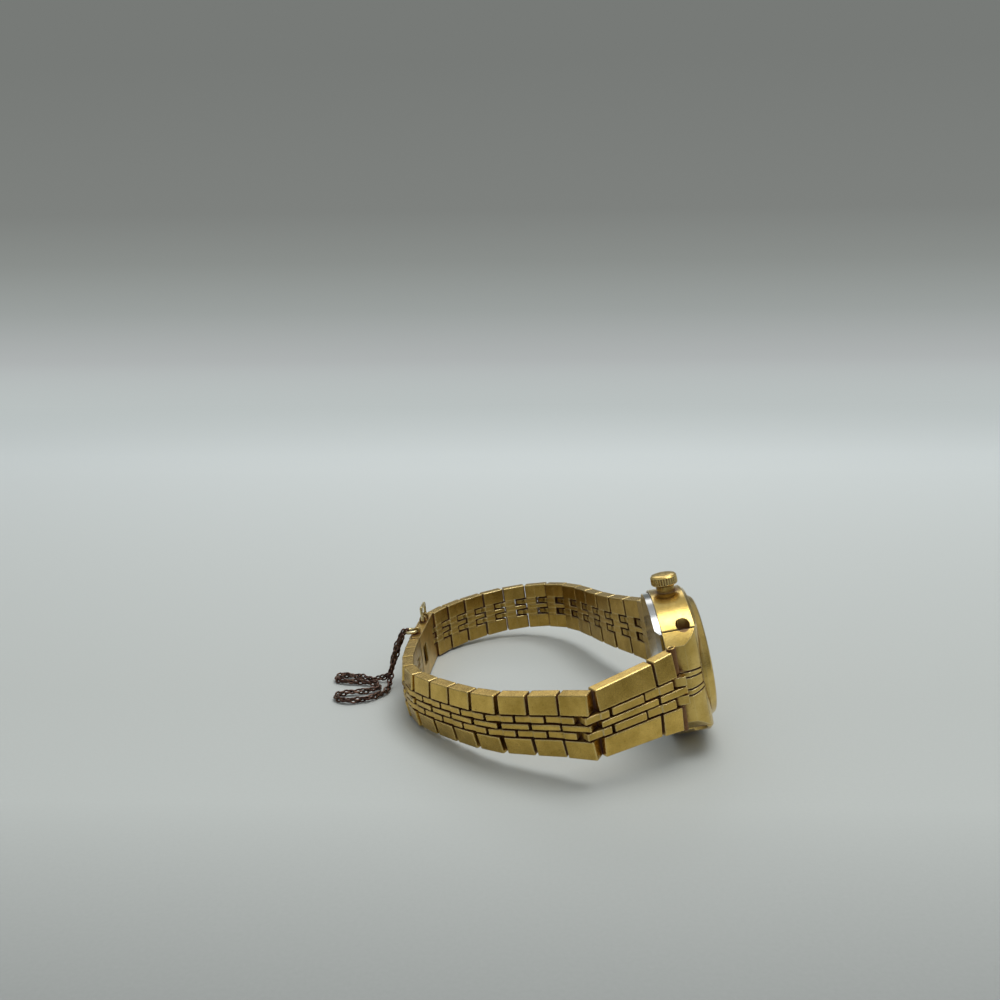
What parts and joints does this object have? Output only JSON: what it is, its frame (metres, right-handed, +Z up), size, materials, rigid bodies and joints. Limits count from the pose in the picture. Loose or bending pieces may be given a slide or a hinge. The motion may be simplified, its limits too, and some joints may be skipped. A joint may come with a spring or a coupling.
{
  "type": "bracelet watch",
  "caption": "Small wristwatch on a hinged brick-link bracelet, closed with a fold-over clasp, bail, jump ring and safety chain, lying on its side with the crown up.",
  "frame": {"origin": "middle of the footprint of the closed watch without its safety chain, on the surface it lies on", "axes": "+X the way the dial faces, +Y away from the 12 o'clock end of the case, +Z up, the way the crown points"},
  "size_m": [0.0596, 0.0647, 0.0234],
  "materials": {
    "gold_case": "gold-plated, satin worn to a shine on the edges",
    "gold_bracelet": "gold-plated, fine scratches, brown grime in the gaps",
    "gold_clasp": "gold-plated, worn, with dull patches",
    "gold_wire": "gold-plated drawn wire",
    "gold_crown": "gold-plated, polished dome, knurled rim",
    "gold_hands": "polished gilt",
    "crystal": "clear domed acrylic crystal",
    "dial": "champagne sunray lacquer with gilt batons",
    "steel_back": "polished stainless steel with fine scratches",
    "steel_parts": "ground steel",
    "blued_steel": "heat-blued steel",
    "movement_brass": "gilt brass, grained",
    "seal": "soft black rubber",
    "chain": "oxidised brown plating, worn to gold on the high spots"
  },
  "bodies": {
    "case": {"case_body": "gold_case", "bezel": "gold_case", "crystal": "crystal", "dial": "dial", "caseback": "steel_back", "gasket": "seal", "spring_bars": "steel_parts", "end_link_12": "gold_case", "end_link_6": "gold_case", "mainplate": "movement_brass", "train_bridge": "movement_brass", "balance_cock": "movement_brass", "bridge_screws": "blued_steel"},
    "setting_slide": {"stem_detent": "steel_parts"},
    "crown_stem": {"crown": "gold_crown", "stem": "steel_parts"},
    "centre": {"centre_wheel": "movement_brass", "minute_hand": "gold_hands"},
    "hour": {"hour_wheel": "movement_brass", "hour_hand": "gold_hands"},
    "motion": {"minute_wheel": "movement_brass"},
    "third": {"third_wheel": "movement_brass"},
    "fourth": {"fourth_wheel": "movement_brass"},
    "mainspring_barrel": {"barrel": "movement_brass"},
    "escape": {"escape_wheel": "steel_parts"},
    "fork": {"pallet_fork": "steel_parts"},
    "balance": {"balance_wheel": "movement_brass", "hairspring": "blued_steel"},
    "brick_a": {"brick_a": "gold_bracelet"},
    "brick_b": {"brick_b": "gold_bracelet"},
    "link_n1": {"link_n1": "gold_bracelet"},
    "link_n2": {"link_n2": "gold_bracelet"},
    "link_n3": {"link_n3": "gold_bracelet"},
    "link_n4": {"link_n4": "gold_bracelet"},
    "link_n5": {"link_n5": "gold_bracelet"},
    "link_n6": {"link_n6": "gold_bracelet"},
    "link_n7": {"link_n7": "gold_bracelet"},
    "link_n8": {"link_n8": "gold_bracelet"},
    "link_n9": {"link_n9": "gold_bracelet"},
    "link_n10": {"link_n10": "gold_bracelet"},
    "link_n11": {"link_n11": "gold_bracelet"},
    "link_f1": {"link_f1": "gold_bracelet"},
    "link_f2": {"link_f2": "gold_bracelet"},
    "link_f3": {"link_f3": "gold_bracelet"},
    "link_f4": {"link_f4": "gold_bracelet"},
    "link_f5": {"link_f5": "gold_bracelet"},
    "link_f6": {"link_f6": "gold_bracelet"},
    "link_f7": {"link_f7": "gold_bracelet"},
    "link_f8": {"link_f8": "gold_bracelet"},
    "link_f9": {"link_f9": "gold_bracelet"},
    "link_f10": {"link_f10": "gold_bracelet"},
    "link_f11": {"link_f11": "gold_bracelet"},
    "link_f12": {"link_f12": "gold_bracelet"},
    "link_f13": {"link_f13": "gold_bracelet"},
    "link_f14": {"link_f14": "gold_bracelet"},
    "clasp_base": {"clasp_base": "gold_clasp", "safety_chain": "chain"},
    "clasp_cover": {"clasp_cover": "gold_clasp"},
    "bail": {"bail": "gold_wire"},
    "jump_ring": {"jump_ring": "gold_wire"}
  },
  "joints": [
    {"name": "crown_pull", "type": "slide", "parent": "case", "child": "setting_slide", "axis": [-0.1908, 0.0175, 0.9815], "range_m": [0, 0.0008]},
    {"name": "crown_turn", "type": "hinge", "parent": "setting_slide", "child": "crown_stem", "pos_m": [0.01657, -0.01172, 0.02173], "axis": [-0.1908, 0.0175, 0.9815], "continuous": true},
    {"name": "centre_turn", "type": "hinge", "parent": "case", "child": "centre", "pos_m": [0.01887, -0.01192, 0.01067], "axis": [0.9816, 0, 0.1908], "continuous": true},
    {"name": "hour_turn", "type": "hinge", "parent": "case", "child": "hour", "pos_m": [0.01887, -0.01192, 0.01067], "axis": [0.9816, 0, 0.1908], "continuous": true},
    {"name": "motion_turn", "type": "hinge", "parent": "case", "child": "motion", "pos_m": [0.01918, -0.01075, 0.00908], "axis": [0.9816, 0, 0.1908], "continuous": true},
    {"name": "third_turn", "type": "hinge", "parent": "case", "child": "third", "pos_m": [0.01917, -0.01408, 0.00914], "axis": [0.9816, 0, 0.1908], "continuous": true},
    {"name": "fourth_turn", "type": "hinge", "parent": "case", "child": "fourth", "pos_m": [0.019, -0.01584, 0.00999], "axis": [0.9816, 0, 0.1908], "continuous": true},
    {"name": "barrel_turn", "type": "hinge", "parent": "case", "child": "mainspring_barrel", "pos_m": [0.0184, -0.00928, 0.01308], "axis": [0.9816, 0, 0.1908], "continuous": true},
    {"name": "escape_turn", "type": "hinge", "parent": "case", "child": "escape", "pos_m": [0.01867, -0.01612, 0.01168], "axis": [0.9816, 0, 0.1908], "continuous": true},
    {"name": "fork_rock", "type": "hinge", "parent": "case", "child": "fork", "pos_m": [0.01848, -0.01494, 0.01268], "axis": [0.9816, 0, 0.1908], "range_deg": [-6, 6]},
    {"name": "balance_swing", "type": "hinge", "parent": "case", "child": "balance", "pos_m": [0.01806, -0.01345, 0.01482], "axis": [0.9816, 0, 0.1908], "range_deg": [-135, 135], "deforming": ["hairspring"]},
    {"name": "brick_a_hinge", "type": "hinge", "parent": "case", "child": "brick_a", "pos_m": [0.01687, -0.02392, 0.01049], "axis": [-0.1808, -0.0009, 0.9835], "range_deg": [0, 66]},
    {"name": "brick_b_hinge", "type": "hinge", "parent": "brick_a", "child": "brick_b", "pos_m": [0.01274, -0.02625, 0.00973], "axis": [-0.1708, -0.0192, 0.9851], "range_deg": [0, 5]},
    {"name": "link_n1_hinge", "type": "hinge", "parent": "brick_b", "child": "link_n1", "pos_m": [0.00474, -0.03075, 0.00826], "axis": [-0.1769, -0.0317, 0.9837], "range_deg": [0, 60.5]},
    {"name": "link_n2_hinge", "type": "hinge", "parent": "link_n1", "child": "link_n2", "pos_m": [0.00085, -0.02879, 0.00762], "axis": [-0.1789, -0.0365, 0.9832], "range_deg": [0, 2]},
    {"name": "link_n3_hinge", "type": "hinge", "parent": "link_n2", "child": "link_n3", "pos_m": [-0.00315, -0.02707, 0.00696], "axis": [-0.1789, -0.0365, 0.9832], "range_deg": [0, 7.5]},
    {"name": "link_n4_hinge", "type": "hinge", "parent": "link_n3", "child": "link_n4", "pos_m": [-0.00706, -0.02518, 0.00632], "axis": [-0.1726, -0.0282, 0.9846], "range_deg": [0, 17.5]},
    {"name": "link_n5_hinge", "type": "hinge", "parent": "link_n4", "child": "link_n5", "pos_m": [-0.01049, -0.02247, 0.00579], "axis": [-0.1616, -0.0172, 0.9867], "range_deg": [0, 12.5]},
    {"name": "link_n6_hinge", "type": "hinge", "parent": "link_n5", "child": "link_n6", "pos_m": [-0.01355, -0.01933, 0.00535], "axis": [-0.1513, -0.008, 0.9885], "range_deg": [0, 8]},
    {"name": "link_n7_hinge", "type": "hinge", "parent": "link_n6", "child": "link_n7", "pos_m": [-0.01643, -0.01604, 0.00493], "axis": [-0.1402, 0.0003, 0.9901], "range_deg": [0, 10]},
    {"name": "link_n8_hinge", "type": "hinge", "parent": "link_n7", "child": "link_n8", "pos_m": [-0.01903, -0.0125, 0.00456], "axis": [-0.129, 0.005, 0.9916], "range_deg": [0, 19]},
    {"name": "link_n9_hinge", "type": "hinge", "parent": "link_n8", "child": "link_n9", "pos_m": [-0.02069, -0.00844, 0.00433], "axis": [-0.1187, 0.0064, 0.9929], "range_deg": [0, 20]},
    {"name": "link_n10_hinge", "type": "hinge", "parent": "link_n9", "child": "link_n10", "pos_m": [-0.02126, -0.00408, 0.00423], "axis": [-0.1083, 0.0067, 0.9941], "range_deg": [0, 11]},
    {"name": "link_n11_hinge", "type": "hinge", "parent": "link_n10", "child": "link_n11", "pos_m": [-0.02138, 0.00032, 0.00419], "axis": [-0.1083, 0.0067, 0.9941], "range_deg": [0, 8]},
    {"name": "link_f1_hinge", "type": "hinge", "parent": "case", "child": "link_f1", "pos_m": [0.01695, 0.00008, 0.01008], "axis": [0.1941, -0.0165, -0.9809], "range_deg": [0, 21.5]},
    {"name": "link_f2_hinge", "type": "hinge", "parent": "link_f1", "child": "link_f2", "pos_m": [0.01573, 0.00429, 0.00977], "axis": [0.1941, -0.0165, -0.9809], "range_deg": [0, 18.5]},
    {"name": "link_f3_hinge", "type": "hinge", "parent": "link_f2", "child": "link_f3", "pos_m": [0.01359, 0.0081, 0.00928], "axis": [0.1882, -0.02, -0.9819], "range_deg": [0, 5.5]},
    {"name": "link_f4_hinge", "type": "hinge", "parent": "link_f3", "child": "link_f4", "pos_m": [0.01141, 0.01189, 0.00879], "axis": [0.1758, -0.0261, -0.9841], "range_deg": [0, 2]},
    {"name": "link_f5_hinge", "type": "hinge", "parent": "link_f4", "child": "link_f5", "pos_m": [0.00953, 0.01585, 0.00835], "axis": [0.1583, -0.0336, -0.9868], "range_deg": [0, 2]},
    {"name": "link_f6_hinge", "type": "hinge", "parent": "link_f5", "child": "link_f6", "pos_m": [0.00786, 0.0199, 0.00794], "axis": [0.1411, -0.0417, -0.9891], "range_deg": [0, 7]},
    {"name": "link_f7_hinge", "type": "hinge", "parent": "link_f6", "child": "link_f7", "pos_m": [0.00604, 0.02389, 0.00752], "axis": [0.1311, -0.0487, -0.9902], "range_deg": [0, 15]},
    {"name": "link_f8_hinge", "type": "hinge", "parent": "link_f7", "child": "link_f8", "pos_m": [0.00357, 0.02749, 0.00701], "axis": [0.1291, -0.0515, -0.9903], "range_deg": [0, 25.5]},
    {"name": "link_f9_hinge", "type": "hinge", "parent": "link_f8", "child": "link_f9", "pos_m": [0, 0.02999, 0.00641], "axis": [0.1304, -0.0447, -0.9905], "range_deg": [0, 29]},
    {"name": "link_f10_hinge", "type": "hinge", "parent": "link_f9", "child": "link_f10", "pos_m": [-0.00428, 0.0308, 0.00581], "axis": [0.1287, -0.0362, -0.991], "range_deg": [0, 27.5]},
    {"name": "link_f11_hinge", "type": "hinge", "parent": "link_f10", "child": "link_f11", "pos_m": [-0.00856, 0.02989, 0.00529], "axis": [0.1236, -0.027, -0.992], "range_deg": [0, 22.5]},
    {"name": "link_f12_hinge", "type": "hinge", "parent": "link_f11", "child": "link_f12", "pos_m": [-0.01237, 0.02773, 0.00488], "axis": [0.117, -0.019, -0.993], "range_deg": [0, 15.5]},
    {"name": "link_f13_hinge", "type": "hinge", "parent": "link_f12", "child": "link_f13", "pos_m": [-0.01573, 0.02491, 0.00453], "axis": [0.1104, -0.0134, -0.9938], "range_deg": [0, 15]},
    {"name": "link_f14_hinge", "type": "hinge", "parent": "link_f13", "child": "link_f14", "pos_m": [-0.01856, 0.02155, 0.00427], "axis": [0.1073, -0.0117, -0.9942], "range_deg": [0, 16.5]},
    {"name": "clasp_base_hinge", "type": "hinge", "parent": "link_f14", "child": "clasp_base", "pos_m": [-0.02066, 0.01769, 0.00408], "axis": [0.1073, -0.0117, -0.9942], "range_deg": [0, 31], "deforming": ["safety_chain"]},
    {"name": "cover_hinge", "type": "hinge", "parent": "clasp_base", "child": "clasp_cover", "pos_m": [-0.02095, 0.0157, 0.00408], "axis": [0.1073, -0.0117, -0.9942], "range_deg": [0, 65]},
    {"name": "bail_swing", "type": "hinge", "parent": "clasp_base", "child": "bail", "pos_m": [-0.0213, 0.01435, 0.00858], "axis": [-0.0472, -0.9989, 0.0067], "range_deg": [-70, 70]},
    {"name": "ring_swing", "type": "hinge", "parent": "clasp_base", "child": "jump_ring", "pos_m": [-0.02166, 0.00671, 0.00863], "axis": [-0.0472, -0.9989, 0.0067], "range_deg": [-100, 8]}
  ],
  "couplings": [
    {"joint": "hour_turn", "follows": "centre_turn", "ratio": 0.083333},
    {"joint": "motion_turn", "follows": "centre_turn", "ratio": -0.33333},
    {"joint": "third_turn", "follows": "centre_turn", "ratio": -7.5},
    {"joint": "fourth_turn", "follows": "centre_turn", "ratio": 60},
    {"joint": "barrel_turn", "follows": "centre_turn", "ratio": -0.224}
  ]
}
